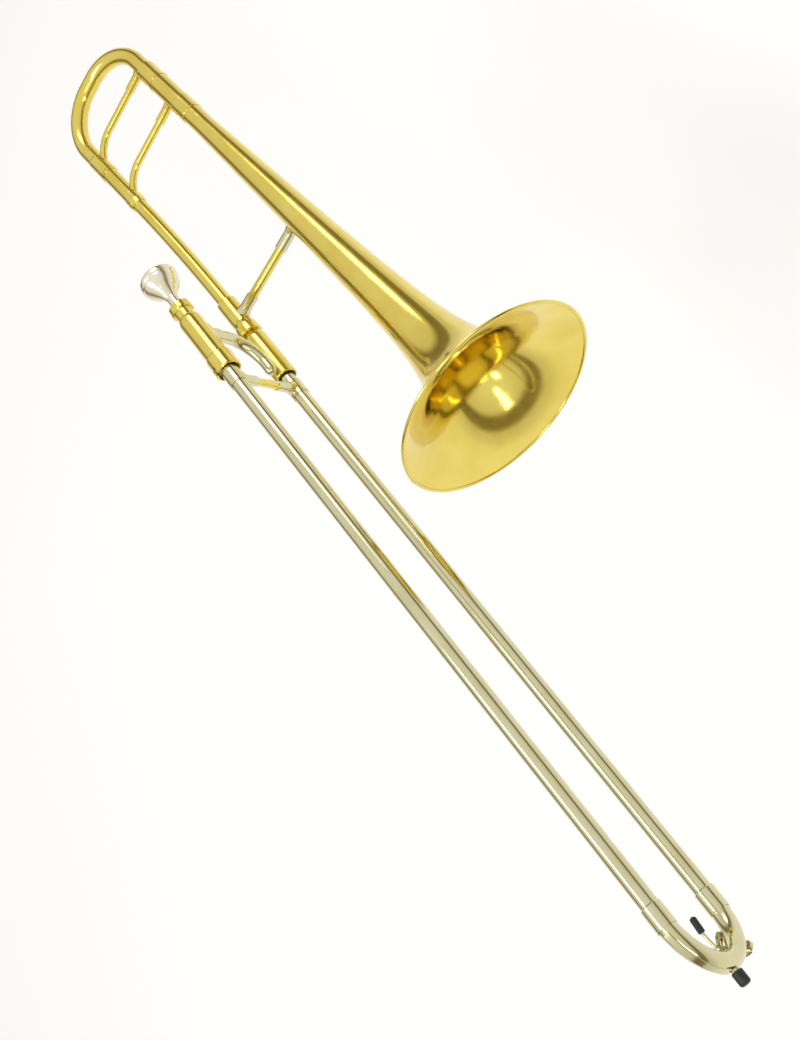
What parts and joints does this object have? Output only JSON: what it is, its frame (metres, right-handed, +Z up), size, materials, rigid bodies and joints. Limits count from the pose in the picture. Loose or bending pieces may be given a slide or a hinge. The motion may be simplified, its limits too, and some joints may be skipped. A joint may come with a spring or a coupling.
{
  "type": "slide trombone",
  "caption": "Straight tenor trombone with a nickel hand slide, a lacquered brass bell section, tuning slide, water key and mouthpiece.",
  "frame": {"origin": "midway between the two slide tubes, level with the mouths of the cork barrels: the middle of the left hand's grip", "axes": "+X forward along the hand slide, +Y to the player's left, the side the bell is on, +Z up from the lower slide tube to the upper one"},
  "size_m": [1.1643, 0.2675, 0.2061],
  "materials": {
    "lacquered_brass": "polished, lacquered",
    "nickel_silver": "polished",
    "silver_plate": "polished plate",
    "black_rubber": "matte",
    "cork": "matte cork"
  },
  "bodies": {
    "inner_slide": {"mouthpiece_receiver": "lacquered_brass", "leadpipe": "lacquered_brass", "cork_barrel_upper": "lacquered_brass", "cork_barrel_lower": "lacquered_brass", "barrel_cork_upper": "cork", "barrel_cork_lower": "cork", "barrel_bumper_upper": "black_rubber", "barrel_bumper_lower": "black_rubber", "inner_tube_upper": "nickel_silver", "inner_tube_lower": "nickel_silver", "stocking_upper": "nickel_silver", "stocking_lower": "nickel_silver", "inner_brace": "nickel_silver", "inner_brace_socket": "nickel_silver", "slide_socket": "lacquered_brass"},
    "mouthpiece": {"mouthpiece": "silver_plate"},
    "lock_ring": {"slide_lock_ring": "lacquered_brass"},
    "outer_slide": {"outer_tube_upper": "nickel_silver", "outer_tube_lower": "nickel_silver", "lock_collar": "nickel_silver", "outer_brace_tube": "lacquered_brass", "outer_brace_socket_upper": "nickel_silver", "outer_brace_socket_lower": "nickel_silver", "crook_ferrule_upper": "nickel_silver", "crook_ferrule_lower": "nickel_silver", "slide_crook": "nickel_silver", "crook_guard": "nickel_silver", "bumper_stud": "nickel_silver", "slide_bumper": "black_rubber", "water_key_nipple": "nickel_silver", "water_key_saddle": "nickel_silver", "water_key_pin": "nickel_silver", "water_key_spring": "nickel_silver"},
    "water_key": {"water_key_lever": "nickel_silver", "water_key_touch": "black_rubber", "water_key_cork": "cork"},
    "bell_section": {"bell_tenon": "lacquered_brass", "neck_sleeve": "lacquered_brass", "neckpipe": "lacquered_brass", "bell_brace_tube": "lacquered_brass", "bell_brace_socket_neck": "nickel_silver", "bell_brace_socket_bell": "nickel_silver", "tuning_receiver_neck": "lacquered_brass", "tuning_receiver_bell": "lacquered_brass", "receiver_ferrule_neck": "lacquered_brass", "receiver_ferrule_bell": "lacquered_brass", "receiver_brace": "lacquered_brass", "receiver_brace_socket": "lacquered_brass", "bell": "lacquered_brass", "bell_rim_bead": "lacquered_brass"},
    "lock_nut": {"bell_lock_nut": "lacquered_brass"},
    "tuning_slide": {"tuning_bow": "lacquered_brass", "tuning_ferrule_neck": "lacquered_brass", "tuning_ferrule_bell": "lacquered_brass", "tuning_leg_neck": "nickel_silver", "tuning_leg_bell": "nickel_silver", "tuning_brace": "lacquered_brass", "tuning_brace_socket": "lacquered_brass"}
  },
  "joints": [
    {"name": "hand_slide", "type": "slide", "parent": "inner_slide", "child": "outer_slide", "axis": [1, 0, 0], "range_m": [0, 0.58]},
    {"name": "water_key_hinge", "type": "hinge", "parent": "outer_slide", "child": "water_key", "pos_m": [0.6561, -0.00854, -0.02584], "axis": [-0.7314, 0, -0.682], "range_deg": [0, 16], "stiffness_Nm_per_rad": 0.12, "springref_deg": -28.65},
    {"name": "slide_lock", "type": "hinge", "parent": "inner_slide", "child": "lock_ring", "pos_m": [0, 0, 0.0425], "axis": [-1, 0, 0], "range_deg": [0, 25]},
    {"name": "mouthpiece_pull", "type": "slide", "parent": "inner_slide", "child": "mouthpiece", "axis": [-1, 0, 0], "range_m": [0, 0.035]},
    {"name": "bell_swivel", "type": "hinge", "parent": "inner_slide", "child": "bell_section", "pos_m": [-0.07, 0, -0.0425], "axis": [1, 0, 0], "range_deg": [-25, 25]},
    {"name": "bell_lock_nut_turn", "type": "hinge", "parent": "bell_section", "child": "lock_nut", "pos_m": [-0.074, 0, -0.0425], "axis": [1, 0, 0], "continuous": true},
    {"name": "tuning_slide_pull", "type": "slide", "parent": "bell_section", "child": "tuning_slide", "axis": [-0.9974, -0.0715, 0], "range_m": [0, 0.048]}
  ]
}
